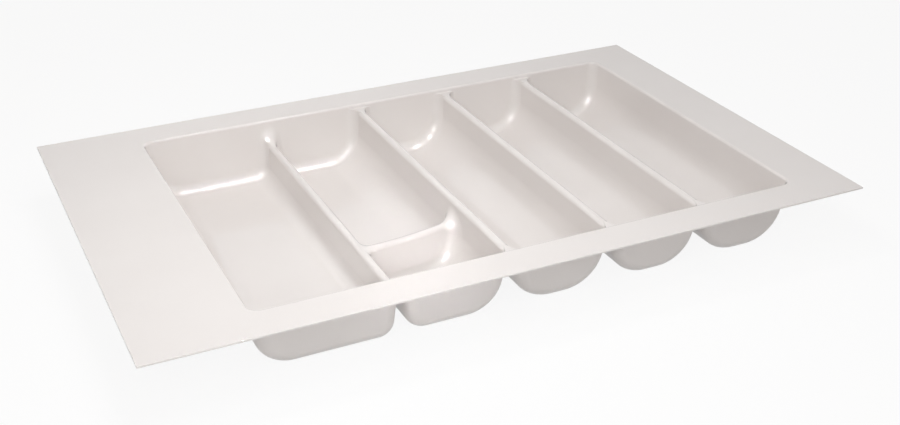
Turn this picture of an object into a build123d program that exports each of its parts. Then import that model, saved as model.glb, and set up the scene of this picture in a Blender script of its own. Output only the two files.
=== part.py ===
from build123d import *
import math
import os

# A trim-to-fit cutlery tray for a wide drawer, vacuum formed from one plastic sheet.
# X runs across the columns, Y from the front edge to the back edge, and Z up.
# The origin is under the middle of the tray, at the height of the compartment floors' undersides.

# Overall size, front to back and in height. The columns and the margins add up to the width.
tray_depth = 533.4
tray_height = 77.0
flange_thickness = 2.2
wall_thickness = 1.6

# Flat margins from the cut edge of the sheet to the walls of the opening
left_margin = 121.0
right_margin = 67.0
front_margin = 46.5
back_margin = 46.5

# Columns, from wall or divider centre to divider centre or wall
column_1_width = 163.5
column_2_width = 126.5
column_3_width = 125.0
column_4_width = 121.0
column_5_width = 120.5

# Dividers
high_divider_drop = 5.5
low_divider_drop = 29.0
divider_crown_radius = 5.4
land_cut = 0.35
front_cell_length = 121.0
cross_divider_step = 0.6

# Drafts of the walls
side_draft_degrees = 4.5
outer_left_draft_degrees = 9.0
end_draft_degrees = 5.0

# Radii on the inner side of the sheet
rim_radius = 3.3
end_radius = 12.5
outer_left_radius = 39.0
low_divider_left_radius = 18.0
low_divider_right_radius = 22.0
column_2_right_radius = 42.0

# Flat strip along the floor of a scooped column. Its round feet take the rest of its width.
scoop_floor_width = 18.0

# Flat band round the opening that belongs to the compartments
rim_band = 8.0

# One overrun serves every cut
overrun = 20.0

# How near two heights or places are taken for one
tolerance = 0.01

# Places that follow from the sizes above
tray_width = (
    left_margin
    + column_1_width
    + column_2_width
    + column_3_width
    + column_4_width
    + column_5_width
    + right_margin
)
flange_top = tray_height
inner_floor = wall_thickness
opening_left = left_margin - tray_width / 2
opening_right = tray_width / 2 - right_margin
opening_front = front_margin - tray_depth / 2
opening_back = tray_depth / 2 - back_margin
divider_1_2_x = opening_left + column_1_width
divider_2_3_x = divider_1_2_x + column_2_width
divider_3_4_x = divider_2_3_x + column_3_width
divider_4_5_x = divider_3_4_x + column_4_width
cross_divider_y = opening_front + front_cell_length
high_crest = flange_top - high_divider_drop
low_crest = flange_top - low_divider_drop
cross_crest = low_crest - cross_divider_step
cell_top = cross_crest - divider_crown_radius
side_draft = math.radians(side_draft_degrees)
outer_left_draft = math.radians(outer_left_draft_degrees)
end_draft = math.radians(end_draft_degrees)


def crown_points(centre, crest, radius, draft):
    """A divider's round crown: its foot on the first wall, its top and its foot on the second wall."""
    across = radius * math.cos(draft)
    shoulder = crest - radius + radius * math.sin(draft)
    return (centre - across, shoulder), (centre, crest), (centre + across, shoulder)


def wall_arc(top_point, draft, radius, floor, side):
    """A wall's round foot: its points on the wall, on the middle of the arc and on the floor.

    side is 1 where the wall stands at the left of its compartment and -1 at the right."""
    centre_z = floor + radius
    wall_x = top_point[0] + side * (top_point[1] - centre_z) * math.tan(draft)
    centre_x = wall_x + side * radius / math.cos(draft)
    middle = (draft + math.pi / 2) / 2
    on_wall = (centre_x - side * radius * math.cos(draft), centre_z - radius * math.sin(draft))
    on_arc = (centre_x - side * radius * math.cos(middle), centre_z - radius * math.sin(middle))
    return on_wall, on_arc, (centre_x, floor)


def walled_floor(start, start_draft, left_radius, finish, finish_draft, right_radius, floor):
    """The line of a compartment across its width: left wall, round foot, floor, round foot, right wall."""
    left_foot = wall_arc(start, start_draft, left_radius, floor, 1)
    right_foot = wall_arc(finish, finish_draft, right_radius, floor, -1)
    return [
        Line(start, left_foot[0]),
        ThreePointArc(*left_foot),
        Line(left_foot[2], right_foot[2]),
        ThreePointArc(right_foot[2], right_foot[1], right_foot[0]),
        Line(right_foot[0], finish),
    ]


def scoop_radius(start, start_draft, finish, finish_draft, floor):
    """The radius of both feet of a scooped column, which leaves the flat strip between them."""
    lean = (start[1] - floor) * math.tan(start_draft) + (finish[1] - floor) * math.tan(finish_draft)
    left_reach = 1 / math.cos(start_draft) - math.tan(start_draft)
    right_reach = 1 / math.cos(finish_draft) - math.tan(finish_draft)
    return (finish[0] - start[0] - lean - scoop_floor_width) / (left_reach + right_reach)


def opening_tops(skin, top):
    """The two upper corners of the opening, across the columns, at a height at or above the flange."""
    rise = top - flange_top
    left = opening_left - skin / math.cos(outer_left_draft) - rise * math.tan(outer_left_draft)
    right = opening_right + skin / math.cos(side_draft) + rise * math.tan(side_draft)
    return (left, top), (right, top)


def across_profile(skin, top):
    """The closed outline, across the columns, of the space inside a skin of the sheet.

    skin is 0 for the inner skin and the wall's thickness for the outer one."""
    floor = inner_floor - skin
    high = high_crest + land_cut
    centres = (divider_1_2_x, divider_2_3_x, divider_3_4_x, divider_4_5_x)
    crests = (low_crest, high, high, high)
    own_radii = [
        (outer_left_radius, low_divider_left_radius),
        (low_divider_right_radius, column_2_right_radius),
    ]
    left_top, right_top = opening_tops(skin, top)
    crowns = []
    for centre, crest in zip(centres, crests):
        crowns.append(crown_points(centre, crest - skin, divider_crown_radius - skin, side_draft))
    starts = [left_top] + [crown[2] for crown in crowns]
    finishes = [crown[0] for crown in crowns] + [right_top]
    edges = [ThreePointArc(*crown) for crown in crowns]
    edges.append(Line(right_top, left_top))
    for column, (start, finish) in enumerate(zip(starts, finishes)):
        draft = side_draft if column else outer_left_draft
        if column < len(own_radii):
            left_radius = own_radii[column][0] + skin
            right_radius = own_radii[column][1] + skin
        else:
            left_radius = scoop_radius(start, draft, finish, side_draft, floor)
            right_radius = left_radius
        edges += walled_floor(start, draft, left_radius, finish, side_draft, right_radius, floor)
    return edges


def between_walls(outline, skin, front, back, top):
    """A space with this outline across the columns, between two drafted end walls.

    front and back are the places of the walls at the flange's height."""
    face = make_face(Plane.XZ * outline)
    prism = Pos(0, -tray_depth / 2, 0) * extrude(face, tray_depth, dir=(0, 1, 0))
    shift = skin / math.cos(end_draft)
    out = (top - flange_top) * math.tan(end_draft) + shift
    lean = (flange_top + overrun) * math.tan(end_draft) - shift
    limits = Polyline(
        (front - out, top),
        (back + out, top),
        (back - lean, -overrun),
        (front + lean, -overrun),
        close=True,
    )
    side = extrude(make_face(Plane.YZ * limits), tray_width, dir=(1, 0, 0))
    return prism & (Pos(-tray_width / 2, 0, 0) * side)


def round_ends(space, top, radius):
    """A space with a rolling radius between its two end walls and everything that meets them."""
    by_depth = space.faces().sort_by(Axis.Y)
    ends = (by_depth[0], by_depth[-1])
    edges = [edge for end in ends for edge in end.edges()]
    below_top = [edge for edge in edges if edge.bounding_box().min.Z < top - wall_thickness]
    return fillet(below_top, radius)


def column_space(skin):
    """The space inside a skin of the sheet, over all the columns."""
    top = flange_top + overrun
    outline = Wire(across_profile(skin, top))
    space = between_walls(outline, skin, opening_front, opening_back, top)
    return round_ends(space, top, end_radius + skin)


def land_space(skin):
    """The shallow space above the high dividers, which leaves a flat land at each of their ends."""
    top = flange_top + overrun
    bottom = high_crest - skin
    left_top, right_top = opening_tops(skin, top)
    left_bottom, right_bottom = opening_tops(skin, bottom)
    outline = Polyline(left_top, right_top, right_bottom, left_bottom, close=True)
    space = between_walls(Wire(outline.edges()), skin, opening_front, opening_back, top)
    corners = [edge for edge in space.edges() if edge.bounding_box().size.Z > (top - bottom) / 2]
    return fillet(corners, end_radius + skin)


def cross_ridge(skin):
    """The ridge across column 2, between the centres of the dividers at its sides."""
    crown = crown_points(cross_divider_y, cross_crest - skin, divider_crown_radius - skin, end_draft)
    drop = (crown[0][1] + overrun) * math.tan(end_draft)
    front_foot = (crown[0][0] - drop, -overrun)
    back_foot = (crown[2][0] + drop, -overrun)
    edges = [
        Line(front_foot, crown[0]),
        ThreePointArc(*crown),
        Line(crown[2], back_foot),
        Line(back_foot, front_foot),
    ]
    face = make_face(Plane.YZ * Wire(edges))
    return Pos(divider_1_2_x, 0, 0) * extrude(face, column_2_width, dir=(1, 0, 0))


def cell_space(skin, front, back):
    """The space of one cell of column 2, up to where the cross divider starts to round.

    front and back are the places of its end walls at the flange's height."""
    crown_radius = divider_crown_radius - skin
    left = crown_points(divider_1_2_x, low_crest - skin, crown_radius, side_draft)[2]
    right = crown_points(divider_2_3_x, high_crest + land_cut - skin, crown_radius, side_draft)[0]
    rise = flange_top - left[1]
    left_top = (left[0] - rise * math.tan(side_draft), flange_top)
    right_top = (right[0] + (flange_top - right[1]) * math.tan(side_draft), flange_top)
    radii = (low_divider_right_radius + skin, column_2_right_radius + skin)
    edges = walled_floor(left_top, side_draft, radii[0], right_top, side_draft, radii[1], inner_floor - skin)
    edges.append(Line(right_top, left_top))
    space = between_walls(Wire(edges), skin, front, back, flange_top)
    return round_ends(space, flange_top, end_radius + skin) & below(cell_top)


def below(height):
    """Everything under a height."""
    deep = height + overrun
    return Pos(0, 0, height - deep / 2) * Box(tray_width, tray_depth, deep)


def inner_space(skin):
    """The whole space inside a skin of the sheet, with the cross divider in column 2."""
    column_2 = region(divider_1_2_x, divider_2_3_x, -tray_depth / 2, tray_depth / 2)
    crown = crown_points(cross_divider_y, cross_crest, divider_crown_radius, end_draft)
    lean = (flange_top - crown[0][1]) * math.tan(end_draft)
    space = column_space(skin) + land_space(skin)
    space -= column_2 & below(cell_top)
    space -= cross_ridge(skin)
    space += cell_space(skin, opening_front, crown[0][0] + lean)
    space += cell_space(skin, crown[2][0] - lean, opening_back)
    return space


def opening_edges(sheet, height):
    """The loop of edges round the opening at a height, without the cut edges of the sheet."""
    flat = [edge for edge in sheet.edges() if abs(edge.bounding_box().max.Z - height) < tolerance]
    flat = [edge for edge in flat if abs(edge.bounding_box().min.Z - height) < tolerance]
    inside = [edge for edge in flat if abs(edge.center().X) < tray_width / 2 - tolerance]
    return [edge for edge in inside if abs(edge.center().Y) < tray_depth / 2 - tolerance]


def moulding():
    """The whole sheet: the flat flange, with the columns drawn down from it."""
    slab_middle = flange_top - flange_thickness / 2
    slab = Pos(0, 0, slab_middle) * Box(tray_width, tray_depth, flange_thickness)
    drawn = inner_space(wall_thickness) & below(slab_middle)
    sheet = slab + drawn - inner_space(0)
    sheet = fillet(opening_edges(sheet, flange_top), rim_radius)
    underside = opening_edges(sheet, flange_top - flange_thickness)
    return fillet(underside, rim_radius - wall_thickness)


def region(left, right, front, back):
    """A block over the whole height of the tray, for taking one region of the sheet."""
    middle = Pos((left + right) / 2, (front + back) / 2, tray_height / 2)
    return middle * Box(right - left, back - front, tray_height + overrun)


def regions():
    """The named regions of the sheet: the flat margins and the compartments, each with half its dividers."""
    left = opening_left - rim_band
    right = opening_right + rim_band
    front = opening_front - rim_band
    back = opening_back + rim_band
    sheet_front = -tray_depth / 2
    sheet_back = tray_depth / 2
    return {
        "left_trim_margin": region(-tray_width / 2, left, sheet_front, sheet_back),
        "right_trim_margin": region(right, tray_width / 2, sheet_front, sheet_back),
        "front_trim_margin": region(left, right, sheet_front, front),
        "back_trim_margin": region(left, right, back, sheet_back),
        "compartment_1_wide": region(left, divider_1_2_x, front, back),
        "compartment_2_rear": region(divider_1_2_x, divider_2_3_x, cross_divider_y, back),
        "compartment_2_front": region(divider_1_2_x, divider_2_3_x, front, cross_divider_y),
        "compartment_3": region(divider_2_3_x, divider_3_4_x, front, back),
        "compartment_4": region(divider_3_4_x, divider_4_5_x, front, back),
        "compartment_5": region(divider_4_5_x, right, front, back),
    }


os.makedirs("parts", exist_ok=True)
sheet = moulding()
for name, block in regions().items():
    export_step(sheet & block, f"parts/{name}.step")
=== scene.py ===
import logging
import math
from dataclasses import dataclass
from enum import Enum
from typing import Callable, Union

import bpy
from mathutils import Matrix, Vector


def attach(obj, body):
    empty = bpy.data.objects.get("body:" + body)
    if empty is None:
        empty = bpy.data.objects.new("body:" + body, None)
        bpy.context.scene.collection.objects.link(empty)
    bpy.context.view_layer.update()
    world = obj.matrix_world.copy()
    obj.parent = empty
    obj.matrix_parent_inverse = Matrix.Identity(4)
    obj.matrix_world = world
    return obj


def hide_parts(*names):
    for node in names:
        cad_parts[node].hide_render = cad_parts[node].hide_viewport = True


# A trim-to-fit cutlery tray, vacuum formed from one glossy off-white sheet.
# Sizes are in millimetres. The frame is in metres, with X across the columns, Y to the back and Z up.

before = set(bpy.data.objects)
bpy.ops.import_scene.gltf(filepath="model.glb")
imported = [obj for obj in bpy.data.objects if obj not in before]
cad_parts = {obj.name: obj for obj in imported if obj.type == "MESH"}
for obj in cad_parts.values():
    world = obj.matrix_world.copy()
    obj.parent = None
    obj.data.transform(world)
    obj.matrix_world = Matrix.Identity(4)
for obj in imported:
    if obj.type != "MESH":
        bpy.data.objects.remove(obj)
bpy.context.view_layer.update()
log = logging.getLogger("cutlery_tray")

MILLIMETRE = 0.001
RIGHT_ANGLE = math.pi / 2

Triple = tuple[float, float, float]


class Skin(Enum):
    """The kinds of face on a piece of the sheet."""

    TOP = 0
    UNDERSIDE = 1
    CUT = 2


class Side(Enum):
    """What stands at one side of a compartment."""

    RIM = "rim"
    DIVIDER = "divider"


class End(Enum):
    """What stands at one end of a compartment."""

    WALL = "wall"
    RIDGE = "ridge"


@dataclass(frozen=True, eq=False)
class Field:
    """A number that a node tree works out, in an output socket. Python's operators add its Math nodes."""

    graph: "Graph"
    socket: bpy.types.NodeSocket

    def math(self, operation: str, *others: "Value", first: bool = True, clamp: bool = False) -> "Field":
        """Adds a Math node.

        Args:
            operation: The node's operation.
            others: The other numbers that it takes.
            first: Whether this number comes before the others.
            clamp: Whether the result is kept between 0 and 1.

        Returns:
            The node's result.
        """
        numbers = (self, *others) if first else (*others, self)
        node = self.graph.add("ShaderNodeMath", dict(enumerate(numbers)), operation=operation, use_clamp=clamp)
        return node.out()

    def __add__(self, other: "Value") -> "Field":
        """The sum."""
        return self if is_number(other, 0) else self.math("ADD", other)

    def __radd__(self, other: "Value") -> "Field":
        """The sum, with this number second."""
        return self + other

    def __sub__(self, other: "Value") -> "Field":
        """The difference."""
        return self if is_number(other, 0) else self.math("SUBTRACT", other)

    def __rsub__(self, other: "Value") -> "Field":
        """The difference, with this number second."""
        return self.math("SUBTRACT", other, first=False)

    def __mul__(self, other: "Value") -> "Value":
        """The product."""
        if is_number(other, 0):
            return 0.0
        return self if is_number(other, 1) else self.math("MULTIPLY", other)

    def __rmul__(self, other: "Value") -> "Value":
        """The product, with this number second."""
        return self * other

    def __truediv__(self, other: "Value") -> "Field":
        """The quotient."""
        return self.math("DIVIDE", other)

    def __rtruediv__(self, other: "Value") -> "Field":
        """The quotient, with this number second."""
        return self.math("DIVIDE", other, first=False)

    def __neg__(self) -> "Field":
        """The number with its sign changed."""
        return self.math("MULTIPLY", -1.0)

    def at_most(self, limit: "Value") -> "Field":
        """The smaller of this number and a limit."""
        return self.math("MINIMUM", limit)

    def at_least(self, limit: "Value") -> "Field":
        """The greater of this number and a limit."""
        return self.math("MAXIMUM", limit)

    def kept_within(self, low: float, high: float) -> "Field":
        """This number, kept between two limits."""
        return self.at_most(high).at_least(low)

    def root(self) -> "Field":
        """The square root."""
        return self.math("SQRT")

    def __gt__(self, other: "Value") -> "Field":
        """1 where this number is the greater, and otherwise 0."""
        return self.math("GREATER_THAN", other)

    def __lt__(self, other: "Value") -> "Field":
        """1 where this number is the smaller, and otherwise 0."""
        return self.math("LESS_THAN", other)


Value = Union[Field, float, int]


def is_number(value: Value, number: float) -> bool:
    """Whether a value is this plain number."""
    return not isinstance(value, Field) and value == number


def sine(angle: Value) -> Value:
    """The sine of an angle."""
    return angle.math("SINE") if isinstance(angle, Field) else math.sin(angle)


def cosine(angle: Value) -> Value:
    """The cosine of an angle."""
    return angle.math("COSINE") if isinstance(angle, Field) else math.cos(angle)


def between(start: Value, finish: Value, share: Value) -> Value:
    """The value a share of the way from start to finish."""
    return start + (finish - start) * share


@dataclass(frozen=True, eq=False)
class Node:
    """A node that has been added to a tree."""

    graph: "Graph"
    node: bpy.types.Node

    def out(self, name: Union[str, int] = 0) -> Field:
        """One of the node's outputs, by its name or number."""
        return Field(self.graph, self.node.outputs[name])


@dataclass(eq=False)
class Graph:
    """Adds nodes to one node tree."""

    tree: bpy.types.NodeTree

    def add(self, kind: str, sockets: Union[dict, None] = None, **settings: object) -> Node:
        """Adds a node.

        Args:
            kind: The node's type.
            sockets: The values or links of its input sockets, by name or number.
            settings: Its settings, which are made first.

        Returns:
            The node.
        """
        node = self.tree.nodes.new(kind)
        for name, value in settings.items():
            setattr(node, name, value)
        for key, value in (sockets or {}).items():
            if isinstance(value, Field):
                self.tree.links.new(value.socket, node.inputs[key])
            else:
                node.inputs[key].default_value = value
        return Node(self, node)


@dataclass(frozen=True)
class Spot:
    """A place or a direction, in three numbers: across, along and up."""

    x: Value
    y: Value
    z: Value

    def __add__(self, other: "Spot") -> "Spot":
        """The sum."""
        return Spot(self.x + other.x, self.y + other.y, self.z + other.z)

    def __mul__(self, by: Value) -> "Spot":
        """This spot times a number."""
        return Spot(self.x * by, self.y * by, self.z * by)

    def length(self) -> Value:
        """The length of the direction."""
        return (self.x * self.x + self.y * self.y + self.z * self.z).root()

    def blend(self, other: "Spot", share: Value) -> "Spot":
        """The spot a share of the way to another one, in a straight line."""
        return Spot(
            between(self.x, other.x, share), between(self.y, other.y, share), between(self.z, other.z, share)
        )

    def swing(self, other: "Spot", share: Value, angle: Value) -> "Spot":
        """The direction a share of the way to another one, turning evenly.

        Args:
            other: The direction at the end of the turn.
            share: How far it has turned, from 0 to 1.
            angle: The angle between the two directions.

        Returns:
            The direction.
        """
        whole = sine(angle)
        return self * (sine((1 - share) * angle) / whole) + other * (sine(share * angle) / whole)

    def vector(self, graph: Graph) -> Field:
        """This spot as one vector of a tree."""
        return graph.add("ShaderNodeCombineXYZ", {0: self.x, 1: self.y, 2: self.z}).out()


UP = Spot(0.0, 0.0, 1.0)
DOWN = Spot(0.0, 0.0, -1.0)

# The least turn in radians and the least length that divide safely, what rounding leaves, and the shares of a
# turn or a run that count as begun and as done
LEAST_TURN = 1e-3
LEAST_LENGTH = 1e-9
ROUNDING = 2e-6
STARTED = 0.001
FINISHED = 0.999

# The narrowest land in millimetres, the share of it that its fillet takes, and the extra row beside an edge
LEAST_LEDGE = 0.002
LEDGE_SHARE = 0.8
SUPPORT_LOOP = 0.5
SUPPORT_SHARE = 0.3

# Metres between points that become one, how far a count may be off, and the tries of a search by halves
WELD = 2e-6
SAME_COUNT = 0.1
HALVINGS = 40


class GeometryGraph(Graph):
    """A geometry tree of its own, with named inputs and the nodes that the sheet's trees share."""

    def __init__(self, name: str) -> None:
        """Starts a tree under a name."""
        super().__init__(bpy.data.node_groups.new(name, "GeometryNodeTree"))
        self.tree.interface.new_socket("Geometry", in_out="OUTPUT", socket_type="NodeSocketGeometry")
        self.inputs = self.tree.nodes.new("NodeGroupInput")

    def number(self, name: str, whole: bool = False) -> Field:
        """Gives a named input, and adds it where the tree doesn't have it yet.

        Args:
            name: The input's name.
            whole: Whether it is a yes or no rather than a number.

        Returns:
            The input's value.
        """
        if name not in self.inputs.outputs:
            kind = "NodeSocketBool" if whole else "NodeSocketFloat"
            self.tree.interface.new_socket(name, in_out="INPUT", socket_type=kind)
        return Field(self, self.inputs.outputs[name])

    def named(self, name: str, kind: str = "FLOAT_VECTOR") -> Field:
        """A named attribute of a type."""
        return self.add("GeometryNodeInputNamedAttribute", {"Name": name}, data_type=kind).out()

    def store(
        self,
        mesh: Field,
        name: str,
        value: Union[Value, bool],
        kind: str = "FLOAT_VECTOR",
        domain: str = "POINT",
        chosen: Union[Field, bool] = True,
    ) -> Field:
        """Keeps a value on a mesh under a name.

        Args:
            mesh: The mesh.
            name: The attribute's name.
            value: Its value.
            kind: Its type.
            domain: The points or faces that it is kept on.
            chosen: Which of them it is kept on.

        Returns:
            The mesh with the attribute.
        """
        sockets = {"Geometry": mesh, "Selection": chosen, "Name": name, "Value": value}
        return self.add("GeometryNodeStoreNamedAttribute", sockets, data_type=kind, domain=domain).out()

    def on_domain(self, value: Field, kind: str, domain: str) -> Field:
        """A value carried over to points, edges or faces."""
        return self.add("GeometryNodeFieldOnDomain", {0: value}, data_type=kind, domain=domain).out()

    def parts(self, vector: Field) -> Spot:
        """The three numbers of a vector."""
        parted = self.add("ShaderNodeSeparateXYZ", {0: vector})
        return Spot(parted.out(0), parted.out(1), parted.out(2))

    def normal(self) -> Field:
        """The mesh's own normal."""
        return self.add("GeometryNodeInputNormal").out()

    def scaled(self, vector: Field, by: Value) -> Field:
        """A vector times a number."""
        return self.add("ShaderNodeVectorMath", {0: vector, "Scale": by}, operation="SCALE").out()

    def move(self, mesh: Field, **sockets: Union[Field, bool]) -> Field:
        """The mesh with points moved as the sockets of Set Position say."""
        return self.add("GeometryNodeSetPosition", {"Geometry": mesh, **sockets}).out()

    def flip(self, mesh: Field) -> Field:
        """The mesh turned inside out."""
        return self.add("GeometryNodeFlipFaces", {"Mesh": mesh}).out()

    def weld(self, mesh: Field) -> Field:
        """The mesh with touching points made one."""
        return self.add("GeometryNodeMergeByDistance", {"Geometry": mesh, "Distance": WELD}).out()

    def switch(self, question: Field, no: Field, yes: Field) -> Field:
        """One of two meshes."""
        sockets = {"Switch": question, "False": no, "True": yes}
        return self.add("GeometryNodeSwitch", sockets, input_type="GEOMETRY").out()

    def join(self, meshes: list[Field]) -> Field:
        """Joins several meshes.

        Args:
            meshes: The meshes.

        Returns:
            One mesh.
        """
        joined = self.add("GeometryNodeJoinGeometry")
        for mesh in meshes:
            self.tree.links.new(mesh.socket, joined.node.inputs[0])
        return joined.out()

    def end(self, mesh: Field) -> None:
        """Makes a mesh the tree's result."""
        out = self.tree.nodes.new("NodeGroupOutput")
        self.tree.links.new(mesh.socket, out.inputs["Geometry"])


def steps(index: Field, counts: dict[str, int]) -> dict[str, Field]:
    """How far along each named run of steps a row or a column is.

    Args:
        index: The row's or column's number.
        counts: The steps in each run, in order.

    Returns:
        A share from 0 to 1 for each run.
    """
    shares = {}
    start = 0
    for name, count in counts.items():
        shares[name] = (index - start).math("DIVIDE", count, clamp=True)
        start += count
    return shares


def steps_before(run: str, counts: dict[str, int]) -> int:
    """How many steps come before a named run."""
    names = list(counts)
    return sum(counts[name] for name in names[: names.index(run)])


@dataclass(frozen=True)
class Sheet:
    """Sizes that hold for the whole tray."""

    width: float = 844.5
    depth: float = 533.4
    flange_top: float = 77.0
    flange_thickness: float = 2.2
    wall_thickness: float = 1.6
    left_margin: float = 121.0
    right_margin: float = 67.0
    end_margin: float = 46.5
    rim_band: float = 8.0
    rim_radius: float = 3.3
    corner_radius: float = 12.5
    crown_sweep: float = 12.0
    ridge_sweep: float = 7.0
    ridge_bend: float = 18.5
    bend_fade: float = 60.0
    crown_radius: float = 5.4
    floor: float = 1.6
    high_crest: float = 71.5
    low_crest: float = 48.0
    cross_crest: float = 47.4
    land_fillet: float = 2.0
    side_draft: float = math.radians(4.5)
    outer_left_draft: float = math.radians(9.0)
    end_draft: float = math.radians(5.0)
    front_cell_length: float = 121.0
    scoop_floor: float = 18.0
    outer_left_foot: float = 39.0
    low_divider_feet: tuple[float, float] = (18.0, 22.0)
    second_right_foot: float = 42.0
    column_widths: tuple[float, ...] = (163.5, 126.5, 125.0, 121.0, 120.5)

    @property
    def end_sine(self) -> float:
        """The sine of the end walls' draft."""
        return math.sin(self.end_draft)

    @property
    def end_cosine(self) -> float:
        """The cosine of the end walls' draft."""
        return math.cos(self.end_draft)

    @property
    def left(self) -> float:
        """The opening's left edge."""
        return self.left_margin - self.width / 2

    @property
    def right(self) -> float:
        """The opening's right edge."""
        return self.width / 2 - self.right_margin

    @property
    def front(self) -> float:
        """The opening's front edge."""
        return self.end_margin - self.depth / 2

    @property
    def back(self) -> float:
        """The opening's back edge."""
        return self.depth / 2 - self.end_margin

    def divider(self, number: int) -> float:
        """The centre line of a divider, counted from the left from 1."""
        return self.left + sum(self.column_widths[:number])


SHEET = Sheet()

DIVIDER_ROWS = {"crest": 10, "shoulder": 12, "upper wall": 5, "lower wall": 12, "foot": 16, "floor": 5}
RIM_ROWS = {"band": 1, "rim": 8, "wall": 8, "foot": 24, "floor": 5}
WALL_COLUMNS = {"band": 1, "rim": 8, "wall": 8, "fillet": 4, "land": 4, "edge": 1, "corner": 18, "run": 6}
RIDGE_COLUMNS = {"crown": 8, "face": 5, "corner": 16, "run": 6}

SIDE_PLACE = ("Side Line", "Side Direction", "Half Width")
END_PLACE = ("End Line", "End Direction", "Half Length")
SIDE_SIZES = ("Draft", "Foot Radius", "Crest Height", "Crest Turn", "Wall Break", "Ridge Sweep")


@dataclass(frozen=True)
class Patch:
    """What a quarter works out for its points: where each is, which way the sheet's back faces there, how far up
    to the flange it is, and whether its faces are marked and its fillet is swept."""

    place: Spot
    outward: Spot
    rise: Value
    kept: Value
    swept: Value


@dataclass(frozen=True)
class RowLine:
    """One line along a compartment: which way the sheet's back faces, and the ball that rolls its corner."""

    outward: Spot
    centre_x: Value
    centre_z: Value
    ball: Value
    swept: Value


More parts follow.
